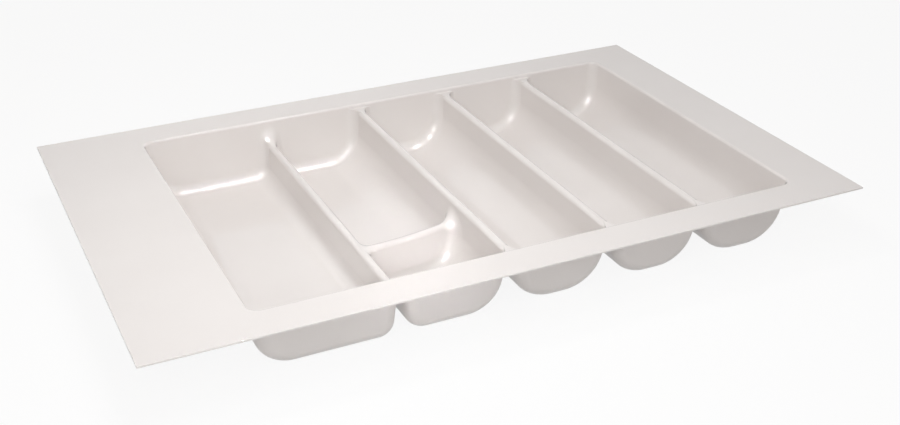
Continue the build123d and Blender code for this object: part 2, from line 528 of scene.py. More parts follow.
@dataclass
class QuarterTree:
    """A node group that moulds one quarter of a compartment, from its side and its end to its middle."""

    side: Side
    end: End
    sheet: Sheet = SHEET

    def build(self) -> bpy.types.NodeTree:
        """Builds the group.

        Returns:
            A geometry tree with the sizes of the quarter as its inputs.
        """
        self.graph = GeometryGraph(f"quarter_{self.side.value}_{self.end.value}")
        number = self.graph.number
        self.line_x, self.toward_x, self.half_width = (number(name) for name in SIDE_PLACE)
        self.line_y, self.toward_y, self.half_length = (number(name) for name in END_PLACE)
        self.draft, self.foot_radius, self.crest, self.crest_turn, self.wall_break, self.ridge_sweep = (
            number(name) for name in SIDE_SIZES
        )
        rows = DIVIDER_ROWS if self.side is Side.DIVIDER else RIM_ROWS
        columns = WALL_COLUMNS if self.end is End.WALL else RIDGE_COLUMNS
        column_count = sum(columns.values()) + 1
        counts = {"Vertices X": sum(rows.values()) + 1, "Vertices Y": column_count}
        grid = self.graph.add("GeometryNodeMeshGrid", counts)
        index = self.graph.add("GeometryNodeInputIndex").out()
        self.row = (index / column_count).math("FLOOR")
        self.column = index - self.row * column_count
        self.down = steps(self.row, rows)
        self.along = steps(self.column, columns)
        if self.side is Side.RIM:
            patch = self.rim_to_wall()
        elif self.end is End.WALL:
            patch = self.divider_to_wall()
        else:
            patch = self.divider_to_ridge()
        self.finish(grid, patch)
        return self.graph.tree

    def finish(self, grid: Node, patch: Patch) -> None:
        """Puts the grid's points in place and keeps the faces that exist.

        Args:
            grid: The flat grid.
            patch: What was worked out for its points.
        """
        graph = self.graph
        x = self.line_x + self.toward_x * patch.place.x
        y = self.line_y + self.toward_y * patch.place.y
        outward = Spot(self.toward_x * patch.outward.x, self.toward_y * patch.outward.y, patch.outward.z)
        extra = (self.sheet.flange_thickness - self.sheet.wall_thickness) * MILLIMETRE
        through = outward * (self.sheet.wall_thickness * MILLIMETRE) + DOWN * (patch.rise * extra)
        mesh = graph.store(grid.out("Mesh"), "sheet_outward", outward.vector(graph))
        mesh = graph.store(mesh, "through_sheet", through.vector(graph))
        mesh = graph.store(mesh, "kept", patch.kept, "BOOLEAN")
        mesh = graph.store(mesh, "swept", patch.swept, "BOOLEAN")
        place = Spot(x, y, patch.place.z) * MILLIMETRE
        mesh = graph.move(mesh, Position=place.vector(graph))
        kept = graph.named("kept", "BOOLEAN")
        chosen = graph.add("GeometryNodeSeparateGeometry", {0: mesh, 1: kept}, domain="FACE")
        mesh = chosen.out("Inverted" if self.side is Side.RIM else "Selection")
        graph.end(graph.switch((self.toward_x * self.toward_y) < 0, mesh, graph.flip(mesh)))

    def end_wall(self, height: Value) -> Value:
        """How far in the end wall stands at a height."""
        return (self.sheet.flange_top - height) * math.tan(self.sheet.end_draft)

    def divider_line(self) -> RowLine:
        """Works out the rows from a divider's centre line down to the floor.

        Returns:
            The rows' line.
        """
        crown = self.sheet.crown_radius
        down, foot = self.down, self.foot_radius
        lean, upright = sine(self.draft), cosine(self.draft)
        most = RIGHT_ANGLE - self.draft
        crown_z = self.crest - crown
        foot_z = self.sheet.floor + foot
        foot_x = (foot + crown + (crown_z - foot_z) * lean) / upright
        wall = foot_x * lean + (crown_z - foot_z) * upright
        squares = self.crest_turn * self.crest_turn
        shoulder = (squares + (most * most - squares) * (down["shoulder"] * down["shoulder"])).root()
        turn = between(self.crest_turn * down["crest"], shoulder, down["shoulder"] > 0)
        length = self.wall_break * down["upper wall"]
        length = length + (wall - self.wall_break) * (down["lower wall"] * down["lower wall"])
        foot_turn = most * (1 - down["foot"])
        x = crown * sine(turn) + length * lean + foot * (upright - sine(foot_turn))
        z = crown_z + crown * cosine(turn) - length * upright + foot * (lean - cosine(foot_turn))
        x = x + (self.half_width - foot_x) * down["floor"]
        facing = turn - most * down["foot"]
        outward = Spot(-sine(facing), 0.0, -cosine(facing))
        upper = cosine(turn)
        ball = self.sheet.corner_radius + self.sheet.crown_sweep * (upper * upper * upper)
        changing = (turn < most * FINISHED) * (turn > 0)
        if self.end is End.RIDGE:
            ball = ball + self.ridge_sweep * (sine(foot_turn) * sine(foot_turn))
            changing = changing + (down["foot"] > 0) * (down["foot"] < 1)
        return RowLine(outward, x - outward.x * ball, z - outward.z * ball, ball, changing)

    def corner(self, line: RowLine, centre_y: Value, facing: Spot, share: Value) -> tuple[Spot, Spot]:
        """Works out the rolled corner between a row and what it runs up to.

        Args:
            line: The row's line.
            centre_y: Where the ball's centre stands along the row.
            facing: The outward direction of what the row runs up to.
            share: How far round the corner the point is.

        Returns:
            The place and the outward direction.
        """
        start = line.outward
        dot = start.x * facing.x + start.z * facing.z
        turn = dot.at_most(1.0).math("ARCCOSINE").at_least(LEAST_TURN)
        outward = start.swing(facing, share, turn)
        centre = Spot(line.centre_x, centre_y, line.centre_z)
        return centre + outward * line.ball, outward

    def run(self, corner: Spot) -> Spot:
        """Moves a point along its row from the corner to the compartment's middle."""
        return Spot(corner.x, between(corner.y, self.half_length, self.along["run"]), corner.z)

    def divider_to_wall(self) -> Patch:
        """The quarter between a divider and an end wall, with the flat land where the divider ends."""
        return self.up_the_wall(self.divider_line(), self.sheet.high_crest, 0.0)

    def up_the_wall(self, line: RowLine, land: float, lean: Value) -> Patch:
        """Carries rows round the corner, over the land if they reach it, and up the end wall to the flange.

        Args:
            line: The rows' line.
            land: The height of the flat land.
            lean: How far the rows lean sideways for each step up the end wall.

        Returns:
            The patch.
        """
        sheet, along = self.sheet, self.along
        wall_sine, wall_cosine = sheet.end_sine, sheet.end_cosine
        facing = Spot(0.0, -wall_cosine, -wall_sine)
        centre_y = self.end_wall(line.centre_z) + line.ball / wall_cosine
        down_z = line.outward.z
        whole = (down_z * -wall_sine).math("ARCCOSINE")
        across = -down_z * sine(whole)
        along_part = wall_sine + down_z * cosine(whole)
        reach = (across * across + along_part * along_part).root()
        ratio = sine(whole) * (line.centre_z - land) / (reach * line.ball)
        capped = (ratio + ROUNDING).kept_within(-1.0, 1.0)
        turned = along_part.math("ARCTAN2", across) + capped.math("ARCCOSINE")
        stop = (turned / whole).at_most(1.0)
        support = (SUPPORT_LOOP / (whole * line.ball)).at_most(stop * SUPPORT_SHARE)
        share = (stop - support) * (1 - along["corner"]) + support * (1 - along["edge"])
        place, outward = self.corner(line, centre_y, facing, share)
        edge, _ = self.corner(line, centre_y, facing, stop)

        # The flat land, its fillet and the end wall above them
        ledge = (edge.y - self.end_wall(edge.z)).at_least(0.0)
        on_land = ledge > LEAST_LEDGE
        radius = (ledge * LEDGE_SHARE).at_most(sheet.land_fillet)
        fillet_z = edge.z + radius
        fillet_y = self.end_wall(fillet_z) + radius / wall_cosine
        to_land = 1 - along["land"]
        land_y = between(edge.y, fillet_y, to_land * to_land)
        upturn = RIGHT_ANGLE - sheet.end_draft
        rolled = DOWN.swing(facing, 1 - along["fillet"], upturn)
        in_fillet = (along["fillet"] < 1) * on_land
        past_edge = along["land"] < 1
        place_y = between(place.y, between(land_y, fillet_y + rolled.y * radius, in_fillet), past_edge)
        place_z = between(place.z, between(edge.z, fillet_z + rolled.z * radius, in_fillet), past_edge)
        low = fillet_z - radius * wall_sine
        high = sheet.flange_top - sheet.rim_radius * (1 - wall_sine)
        up = 1 - along["wall"]
        above = up > 0
        height = between(low, high, up)
        place_z = between(place_z, height, above)
        place_y = between(place_y, self.end_wall(height), above)
        place_x = place.x - lean * ((height - low) * above)
        flat = DOWN.blend(rolled, in_fillet)
        landed = outward.blend(flat, past_edge * on_land)
        soft = outward + DOWN
        soft = soft * (1 / soft.length())
        at_edge = (along["edge"] < STARTED) * (along["land"] > FINISHED) * on_land
        landed = landed.blend(soft, at_edge)
        landed = landed.blend(facing, (above + (along["fillet"] < STARTED)).at_most(1.0))

        # The rim and the flat band
        over = 1 - along["rim"]
        rolled_rim = Spot(0.0, wall_cosine, wall_sine).swing(UP, over, upturn)
        rim_y = self.end_wall(high) - sheet.rim_radius * wall_cosine
        rim_z = sheet.flange_top - sheet.rim_radius
        on_rim = over > 0
        place_y = between(place_y, rim_y + rolled_rim.y * sheet.rim_radius, on_rim)
        place_z = between(place_z, rim_z + rolled_rim.z * sheet.rim_radius, on_rim)
        landed = landed.blend(rolled_rim * -1.0, on_rim)
        out = 1 - along["band"]
        place_y = place_y - (rim_y + sheet.rim_band) * out
        final = self.run(Spot(place_x, place_y, place_z))
        rolling = (share > 0) * (share < 1)
        return Patch(final, landed, up, True, line.swept * rolling * (1 - past_edge) * (1 - above))

    def divider_to_ridge(self) -> Patch:
        """Moulds the quarter between a divider and the cross divider, down to the ridge's crest line.

        Returns:
            The patch.
        """
        sheet, along = self.sheet, self.along
        line = self.divider_line()
        crown_z = sheet.cross_crest - sheet.crown_radius
        reach = line.ball + sheet.crown_radius
        slope = RIGHT_ANGLE - sheet.end_draft
        capped = ((line.centre_z - crown_z) / reach).kept_within(-1.0, 1.0)
        turn = capped.math("ARCCOSINE").at_most(slope)
        face = (reach * sheet.end_sine + crown_z - line.centre_z) / sheet.end_cosine
        face = face.at_least(0.0)
        facing = Spot(0.0, -sine(turn), -cosine(turn))
        centre_y = sine(turn) * reach + face * sheet.end_sine
        place, outward = self.corner(line, centre_y, facing, 1 - along["corner"])
        rest = face * along["face"]
        crowned = turn * along["crown"]
        on_face = along["corner"].math("COMPARE", 0.0, ROUNDING)
        face_y = sine(crowned) * sheet.crown_radius + rest * sheet.end_sine
        face_z = crown_z + cosine(crowned) * sheet.crown_radius - rest * sheet.end_cosine
        ridge = Spot(place.x, face_y, face_z)
        ridge_outward = Spot(0.0, -sine(crowned), -cosine(crowned))
        final = self.run(place.blend(ridge, on_face))
        reached = line.centre_z < (reach + crown_z + STARTED)
        in_ridge = self.column < steps_before("run", RIDGE_COLUMNS)
        kept = 1 - in_ridge * (1 - reached)
        rolling = (along["corner"] > 0) * (along["corner"] < 1)
        return Patch(final, outward.blend(ridge_outward, on_face), 0.0, kept, line.swept * rolling)

    def rim_to_wall(self) -> Patch:
        """Moulds the quarter between an outer side wall and an end wall, with the rounded corner of the rim.

        Returns:
            The patch.
        """
        sheet, down, along = self.sheet, self.down, self.along
        ball, rim, top = sheet.corner_radius, sheet.rim_radius, sheet.flange_top
        lean, upright = sine(self.draft), cosine(self.draft)
        slope = lean / upright
        foot_z = sheet.floor + self.foot_radius
        foot_x = (top - foot_z) * slope + self.foot_radius / upright
        most = RIGHT_ANGLE - self.draft
        facing = most * (1 - down["foot"])
        side = Spot(-sine(facing), 0.0, -cosine(facing))
        x = foot_x - self.foot_radius * sine(facing) + (self.half_width - foot_x) * down["floor"]
        z = foot_z - self.foot_radius * cosine(facing)
        line = RowLine(side, x - side.x * ball, z - side.z * ball, ball, 0.0)
        end_lean = slope * (1 - down["foot"])
        floor_patch = self.up_the_wall(line, top + ball, end_lean)

        # The side wall, the rim over it and the flat band, along the run and round the corner
        wall_sine, wall_cosine = sheet.end_sine, sheet.end_cosine
        end_facing = Spot(0.0, -wall_cosine, -wall_sine)
        wall_facing = Spot(-upright, 0.0, -lean)
        whole = (lean * wall_sine).math("ARCCOSINE")
        support = (SUPPORT_LOOP / (whole * ball)).at_most(SUPPORT_SHARE)
        share = (1 - support) * (1 - along["corner"]) + support * (1 - along["edge"])
        outward = wall_facing.swing(end_facing, share, whole)
        low = foot_z - self.foot_radius * lean + ball * lean + outward.z * ball
        high = top - rim * (1 + outward.z)
        up = 1 - down["wall"]
        height = between(low, high, up)
        centre_z = height - outward.z * ball
        centre_x = (top - centre_z) * slope + ball / upright
        centre_y = self.end_wall(centre_z) + ball / wall_cosine
        wall = Spot(centre_x, centre_y, centre_z) + outward * ball
        over = 1 - down["rim"]
        inward = outward * -1.0
        rim_turn = inward.z.math("ARCCOSINE")
        rolled = inward.swing(UP, over, rim_turn)
        rolled_place = wall + outward * rim + rolled * rim
        out = 1 - down["band"]
        edge = -sheet.rim_band
        near_side = (share * 2).at_most(1.0)
        near_end = (2 - share * 2).at_most(1.0)
        place_x = rolled_place.x + (edge - rolled_place.x) * out * near_end
        place_y = rolled_place.y + (edge - rolled_place.y) * out * near_side
        corner = self.run(Spot(place_x, place_y, rolled_place.z))
        on_wall = up > 0
        place = floor_patch.place.blend(corner, on_wall)
        facing_out = floor_patch.outward.blend(rolled * -1.0, on_wall)
        rise = up.at_least(floor_patch.rise)
        past, beyond = steps_before("foot", RIM_ROWS), steps_before("edge", WALL_COLUMNS)
        gone = (self.row < past + 0.5) * (self.column < beyond + 0.5)
        return Patch(place, facing_out, rise, gone, False)


@dataclass(frozen=True)
class SideSizes:
    """What stands at one side of a compartment, and its sizes. A rim makes no use of those with defaults."""

    kind: Side
    line: float
    draft: float
    foot: float
    crest: float = 0.0
    crest_turn: float = 0.3
    wall_break: float = 6.0
    ridge_sweep: float = 0.0

    def inputs(self) -> dict[str, float]:
        """The sizes, by the names of a quarter's inputs."""
        sizes = (self.draft, self.foot, self.crest, self.crest_turn, self.wall_break, self.ridge_sweep)
        return dict(zip(SIDE_SIZES, sizes))

    def reach(self, sheet: Sheet) -> float:
        """Works out how far the wall and its round foot stand out from the side's line.

        Args:
            sheet: The tray's sizes.

        Returns:
            The distance.
        """
        foot_z = sheet.floor + self.foot
        if self.kind is Side.RIM:
            return (sheet.flange_top - foot_z) * math.tan(self.draft) + self.foot / math.cos(self.draft)
        drop = self.crest - sheet.crown_radius - foot_z
        return (self.foot + sheet.crown_radius + drop * math.sin(self.draft)) / math.cos(self.draft)


def crown_turn(rise: Callable[[float, float], float]) -> float:
    """Finds how far round a crown a height is reached.

    Args:
        rise: What is left to the height, from the turn and the corner's radius there. It falls as the turn grows.

    Returns:
        The turn at which nothing is left.
    """
    low, high = 0.0, RIGHT_ANGLE
    for _ in range(HALVINGS):
        middle = (low + high) / 2
        ball = SHEET.corner_radius + SHEET.crown_sweep * math.cos(middle) ** 3
        low, high = (middle, high) if rise(middle, ball) > 0 else (low, middle)
    return low


def high_divider(line: float, foot: float) -> SideSizes:
    """Sizes a divider that nearly reaches the flange, with flat lands at its ends.

    Args:
        line: Where its centre line stands.
        foot: The radius of its round foot on the compartment's side.

    Returns:
        The side's sizes.
    """
    sheet = SHEET
    crown = sheet.crown_radius
    slope = sheet.end_sine
    tip = crown_turn(lambda turn, ball: (crown + ball) * math.cos(turn) - ball * slope - crown)
    reach = crown + sheet.corner_radius + sheet.ridge_sweep * math.cos(sheet.side_draft) ** 2
    reach += sheet.crown_sweep * math.sin(sheet.side_draft) ** 3
    over = sheet.high_crest - sheet.cross_crest + reach * (math.sin(sheet.side_draft) - 1)
    drop = over / math.cos(sheet.side_draft)
    return SideSizes(Side.DIVIDER, line, sheet.side_draft, foot, sheet.high_crest, tip, drop, sheet.ridge_sweep)


def low_divider(line: float, foot: float) -> SideSizes:
    """Sizes the divider between the first two columns, which stays well under the flange.

    Args:
        line: Where its centre line stands.
        foot: The radius of its round foot on the compartment's side.

    Returns:
        The side's sizes.
    """
    sheet = SHEET
    step = sheet.low_crest - sheet.cross_crest
    turn = crown_turn(lambda turn, ball: step - (sheet.crown_radius + ball) * (1 - math.cos(turn)))
    return SideSizes(Side.DIVIDER, line, sheet.side_draft, foot, sheet.low_crest, turn)


def scoop_foot(left_reach: float, width: float, crests: tuple[float, float], rim: bool) -> float:
    """The radius of both round feet of a scooped column.

    Args:
        left_reach: How far the crown of the left divider reaches into the column.
        width: The column's width.
        crests: The heights of the upper ends of its two walls.
        rim: Whether the right wall ends in the rim.

    Returns:
        The radius that leaves the flat strip between the feet.
    """
    sheet = SHEET
    lean = sum((crest - sheet.floor) * math.tan(sheet.side_draft) for crest in crests)
    right_reach = 0.0 if rim else left_reach
    share = 1 / math.cos(sheet.side_draft) - math.tan(sheet.side_draft)
    return (width - left_reach - right_reach - lean - sheet.scoop_floor) / (2 * share)


@dataclass(frozen=True)
class CompartmentSizes:
    """One compartment of the tray."""

    name: str
    left: SideSizes
    right: SideSizes
    front: End
    back: End
    front_line: float
    back_line: float

    def middle_x(self) -> float:
        """The middle of the flat strip along the floor."""
        start = self.left.line + self.left.reach(SHEET)
        finish = self.right.line - self.right.reach(SHEET)
        return (start + finish) / 2


def compartments(sheet: Sheet) -> list[CompartmentSizes]:
    """Works out the six compartments.

    Args:
        sheet: The tray's sizes.

    Returns:
        The compartments, from left to right.
    """
    crown = sheet.crown_radius * math.cos(sheet.side_draft)
    shoulder = sheet.high_crest - sheet.crown_radius * (1 - math.sin(sheet.side_draft))
    widths = sheet.column_widths
    scoops = [
        scoop_foot(crown, widths[2], (shoulder, shoulder), False),
        scoop_foot(crown, widths[3], (shoulder, shoulder), False),
        scoop_foot(crown, widths[4], (shoulder, sheet.flange_top), True),
    ]
    lines = [sheet.divider(number) for number in range(1, 5)]
    left = SideSizes(Side.RIM, sheet.left, sheet.outer_left_draft, sheet.outer_left_foot)
    right = SideSizes(Side.RIM, sheet.right, sheet.side_draft, scoops[2])
    cross = sheet.front + sheet.front_cell_length
    walls = (End.WALL, End.WALL)
    ends = (sheet.front, sheet.back)
    low_feet = sheet.low_divider_feet
    second = (low_divider(lines[0], low_feet[1]), high_divider(lines[1], sheet.second_right_foot))
    third = (high_divider(lines[1], scoops[0]), high_divider(lines[2], scoops[0]))
    fourth = (high_divider(lines[2], scoops[1]), high_divider(lines[3], scoops[1]))
    return [
        CompartmentSizes("compartment_1_wide", left, low_divider(lines[0], low_feet[0]), *walls, *ends),
        CompartmentSizes("compartment_2_rear", *second, End.RIDGE, End.WALL, cross, sheet.back),
        CompartmentSizes("compartment_2_front", *second, End.WALL, End.RIDGE, sheet.front, cross),
        CompartmentSizes("compartment_3", *third, *walls, *ends),
        CompartmentSizes("compartment_4", *fourth, *walls, *ends),
        CompartmentSizes("compartment_5", high_divider(lines[3], scoops[2]), right, *walls, *ends),
    ]


def in_scene(name: str, data: bpy.types.ID) -> bpy.types.Object:
    """Adds an object with this data to the scene."""
    item = bpy.data.objects.new(name, data)
    bpy.context.scene.collection.objects.link(item)
    return item


def plain_mesh(name: str, tree: bpy.types.NodeTree, values: dict[str, Union[float, bool]]) -> bpy.types.Object:
    """Runs a geometry tree and keeps its result as a plain mesh.

    Args:
        name: The piece's name.
        tree: The tree.
        values: The tree's inputs, by name.

    Returns:
        An object at the origin with the finished mesh and no modifier.
    """
    holder = in_scene(name, bpy.data.meshes.new(f"{name}_start"))
    modifier = holder.modifiers.new("moulding", "NODES")
    modifier.node_group = tree
    for item in tree.interface.items_tree:
        if item.in_out == "INPUT" and item.name in values:
            modifier[item.identifier] = values[item.name]
    graph = bpy.context.evaluated_depsgraph_get()
    shaped = holder.evaluated_get(graph)
    mesh = bpy.data.meshes.new_from_object(shaped, preserve_all_data_layers=True, depsgraph=graph)
    mesh.name = name
    holder.modifiers.remove(modifier)
    holder.data = mesh
    return holder


class MouldingTree:
    """A geometry tree whose pieces are dressed by the kind of face."""

    def __init__(self, name: str, finishes: dict[Skin, bpy.types.Material]) -> None:
        """Starts the tree.

        Args:
            name: The tree's name.
            finishes: The material of each kind of face.
        """
        self.graph = GeometryGraph(name)
        self.finishes = finishes

    def mark(self, mesh: Field, skin: Skin, chosen: Union[Field, bool] = True) -> Field:
        """Marks faces as one kind.

        Args:
            mesh: The mesh.
            skin: The kind.
            chosen: Which faces are marked.

        Returns:
            The mesh with its faces marked.
        """
        return self.graph.store(mesh, "skin", skin.value, "INT", "FACE", chosen)

    def finish(self, mesh: Field, normal: Field, fallback: Field) -> None:
        """Gives the mesh its normals and its materials, and ends the tree.

        Args:
            mesh: The closed mesh with its faces marked.
            normal: The smooth normal of each corner.
            fallback: 1 for the corners that take their face's own normal.
        """
        graph = self.graph
        flat = graph.on_domain(graph.normal(), "FLOAT_VECTOR", "FACE")
        sockets = {0: fallback, 4: normal, 5: flat}
        chosen = graph.add("ShaderNodeMix", sockets, data_type="VECTOR", factor_mode="UNIFORM").out(1)
        skin = graph.named("skin", "INT")
        cut = skin > (Skin.CUT.value - 0.5)
        sockets = {"Geometry": mesh, "Selection": cut, "Shade Smooth": False}
        mesh = graph.add("GeometryNodeSetShadeSmooth", sockets, domain="FACE").out()
        sockets = {"Mesh": mesh, "Custom Normal": chosen}
        mesh = graph.add("GeometryNodeSetMeshNormal", sockets, mode="TANGENT_SPACE", domain="CORNER").out()
        mesh = graph.add("GeometryNodeRealizeInstances", {"Geometry": mesh}).out()
        for kind, material in self.finishes.items():
            same = skin.math("COMPARE", kind.value, SAME_COUNT)
            sockets = {"Geometry": mesh, "Selection": same, "Material": material}
            mesh = graph.add("GeometryNodeSetMaterial", sockets).out()
        for name in ("sheet_outward", "through_sheet", "kept", "swept", "skin"):
            mesh = graph.add("GeometryNodeRemoveAttribute", {"Geometry": mesh, "Name": name}).out()
        graph.end(mesh)


class CompartmentTree(MouldingTree):
    """Moulds one compartment from four quarters and gives the sheet its thickness."""

    def __init__(self, finishes: dict[Skin, bpy.types.Material]) -> None:
        """Builds the tree.

        Args:
            finishes: The material of each kind of face.
        """
        super().__init__("moulded_compartment", finishes)
        kinds = ((Side.DIVIDER, End.WALL), (Side.DIVIDER, End.RIDGE), (Side.RIM, End.WALL))
        self.groups = [QuarterTree(*kind).build() for kind in kinds]
        number = self.graph.number
        middle_x, middle_y = number("Middle X"), number("Middle Y")
        sides, ends = {}, {}
        for side, direction in (("Left", 1.0), ("Right", -1.0)):
            line = number(f"{side} Line")
            sides[side] = dict(zip(SIDE_PLACE, (line, direction, (middle_x - line) * direction)))
            sides[side] |= {name: number(f"{side} {name}") for name in SIDE_SIZES}
        for end, direction in (("Front", 1.0), ("Back", -1.0)):
            line = number(f"{end} Line")
            ends[end] = dict(zip(END_PLACE, (line, direction, (middle_y - line) * direction)))
        rims = {side: number(f"{side} Is Rim", True) for side in sides}
        ridges = {end: number(f"{end} Is Ridge", True) for end in ends}
        quarters = [
            self.quarter({**side_sizes, **end_sizes}, rims[side], ridges[end])
            for side, side_sizes in sides.items()
            for end, end_sizes in ends.items()
        ]
        self.thicken(self.graph.join(quarters))

    def quarter(self, sizes: dict[str, Value], rim: Field, ridge: Field) -> Field:
        """Adds the quarter that fits a side and an end.

        Args:
            sizes: The quarter's sizes.
            rim: Whether the side is the rim's.
            ridge: Whether the end is the cross divider.

        Returns:
            The quarter's mesh.
        """
        walled, ridged, rimmed = (
            self.graph.add("GeometryNodeGroup", dict(sizes), node_tree=group).out() for group in self.groups
        )
        return self.graph.switch(rim, self.graph.switch(ridge, walled, ridged), rimmed)

    def bend(self, skin: Field) -> Field:
        """Bends the cross divider back toward its right end, with the walls beside it left where they are.

        Args:
            skin: The top skin.

        Returns:
            The bent skin.
        """
        graph, number = self.graph, self.graph.number
        place = graph.parts(graph.add("GeometryNodeInputPosition").out())
        left, right = number("Left Line"), number("Right Line")
        ridges = (number("Front Is Ridge", True), number("Back Is Ridge", True))
        ridge_y = between(number("Front Line"), number("Back Line"), ridges[1])
        share = ((place.x / MILLIMETRE - left) / (right - left)).kept_within(0.0, 1.0)
        away = (place.y / MILLIMETRE - ridge_y).math("ABSOLUTE") / number("Bend Fade")
        near = (1 - away).at_least(0.0)
        near = near * near * (3 - near * 2)
        amount = number("Ridge Bend") * (ridges[0] + ridges[1]) * near
        shift = Spot(0.0, amount * share * share * MILLIMETRE, 0.0).vector(graph)
        skin = graph.move(skin, Offset=shift)
        slope = amount * share * 2 / (right - left)
        old = graph.parts(graph.named("sheet_outward"))
        turned = Spot(old.x - slope * old.y, old.y, old.z).vector(graph)
        turned = graph.add("ShaderNodeVectorMath", {0: turned}, operation="NORMALIZE").out()
        return graph.store(skin, "sheet_outward", turned)

    def thicken(self, skin: Field) -> None:
        """Welds the top skin, adds the underside and closes the cut edges between them.

        Args:
            skin: The four quarters of the top skin.
        """
        graph = self.graph
        skin = self.mark(self.bend(graph.weld(skin)), Skin.TOP)
        border = graph.add("GeometryNodeInputMeshEdgeNeighbors").out().math("COMPARE", 1, SAME_COUNT)
        at_border = graph.on_domain(graph.on_domain(border, "BOOLEAN", "EDGE"), "BOOLEAN", "POINT")
        rolled = graph.named("swept", "BOOLEAN") * (1 - at_border)
        skin = graph.store(skin, "sheet_outward", graph.scaled(graph.normal(), -1.0), chosen=rolled)
        through = graph.named("through_sheet")
        under = self.mark(graph.flip(graph.move(skin, Offset=through)), Skin.UNDERSIDE)
        sockets = {"Mesh": skin, "Selection": border, "Offset Scale": 0.0}
        walls = graph.add("GeometryNodeExtrudeMesh", sockets, mode="EDGES")
        closed = graph.move(walls.out("Mesh"), Selection=walls.out("Top"), Offset=through)
        closed = self.mark(closed, Skin.CUT, walls.out("Side"))
        mesh = graph.weld(graph.join([closed, under]))
        kind = graph.named("skin", "INT")
        self.finish(mesh, graph.scaled(graph.named("sheet_outward"), kind * 2 - 1), kind > 1.5)


class MarginTree(MouldingTree):
    """Makes one flat margin of the sheet, with its cut edges a little rounded.

    Each edge is rounded in a few steps. A face is level where its normal is nearly upright, and takes its own
    normal where the smooth one differs much.
    """

    ZONE = 3
    STEPS = 2 * ZONE + 1
    LEVEL = 0.5
    SMOOTH = 0.6

    def __init__(self, finishes: dict[Skin, bpy.types.Material]) -> None:
        """Builds the tree.

        Args:
            finishes: The material of each kind of face.
        """
        super().__init__("flat_margin", finishes)
        graph, number = self.graph, self.graph.number
        counts = {f"Vertices {axis}": self.STEPS + 1 for axis in "XYZ"}
        cube = graph.add("GeometryNodeMeshCube", {"Size": (1.0, 1.0, 1.0), **counts})
        corner = graph.parts(graph.add("GeometryNodeInputPosition").out())
        radius = number("Edge Radius")
        inner, toward = [], []
        axes = ((corner.x, "Left", "Right"), (corner.y, "Front", "Back"), (corner.z, "Bottom", "Top"))
        for along, low, high in axes:
            step = ((along + 0.5) * self.STEPS).math("ROUND")
            near = step < (self.ZONE + 0.5)
            lean = near * (self.ZONE - step) + (1 - near) * (step - self.ZONE - 1)
            lean = (lean * (math.pi / 4 / self.ZONE)).math("TANGENT")
            sides = []
            for name, sign in ((low, 1.0), (high, -1.0)):
                cut = number(f"{name} Is Cut", True)
                sides.append((number(name) + radius * sign * cut, lean * cut * -sign))
            inner.append(between(sides[1][0], sides[0][0], near))
            toward.append(between(sides[1][1], sides[0][1], near))
        size = Spot(*toward).length().at_least(LEAST_LENGTH)
        outward = Spot(*(part / size for part in toward))
        place = (Spot(*inner) + outward * radius) * MILLIMETRE
        mesh = graph.store(cube.out(), "sheet_outward", outward.vector(graph))
        mesh = graph.weld(graph.move(mesh, Position=place.vector(graph)))
        flat = graph.on_domain(graph.normal(), "FLOAT_VECTOR", "FACE")
        up = graph.parts(flat).z
        mesh = self.mark(mesh, Skin.CUT)
        mesh = self.mark(mesh, Skin.TOP, up > self.LEVEL)
        mesh = self.mark(mesh, Skin.UNDERSIDE, up < -self.LEVEL)
        normal = graph.named("sheet_outward")
        dot = graph.add("ShaderNodeVectorMath", {0: normal, 1: flat}, operation="DOT_PRODUCT").out("Value")
        self.finish(mesh, normal, dot < self.SMOOTH)


class ShaderGraph(Graph):
    """Adds nodes to a material's or the world's tree, which starts empty."""

    def __init__(self, owner: Union[bpy.types.Material, bpy.types.World]) -> None:
        """Empties the owner's tree."""
        owner.use_nodes = True
        owner.node_tree.nodes.clear()
        super().__init__(owner.node_tree)

    def object_coordinates(self) -> Field:
        """The place on the piece, in metres."""
        return self.add("ShaderNodeTexCoord").out("Object")

    def noise(self, scale: float, detail: float, stretch: Triple = (1.0, 1.0, 1.0)) -> Field:
        """Adds a noise pattern.

        Args:
            scale: Features to the metre.
            detail: Octaves of finer noise.
            stretch: How much denser the pattern is along each axis.

        Returns:
            The pattern, from 0 to 1.
        """
        place = self.add("ShaderNodeMapping", {"Vector": self.object_coordinates(), "Scale": stretch}).out()
        return self.add("ShaderNodeTexNoise", {"Vector": place, "Scale": scale, "Detail": detail}).out("Fac")

    def ramp(self, value: Value, low: float, high: float) -> Field:
        """How far a value is from low to high, kept between 0 and 1."""
        sockets = {"Value": value, "From Min": low, "From Max": high}
        return self.add("ShaderNodeMapRange", sockets, clamp=True).out()

    def tint(self, share: Value, first: tuple[float, ...], second: tuple[float, ...]) -> Field:
        """Mixes two colours."""
        sockets = {0: share, 6: (*first, 1.0), 7: (*second, 1.0)}
        return self.add("ShaderNodeMix", sockets, data_type="RGBA").out(2)


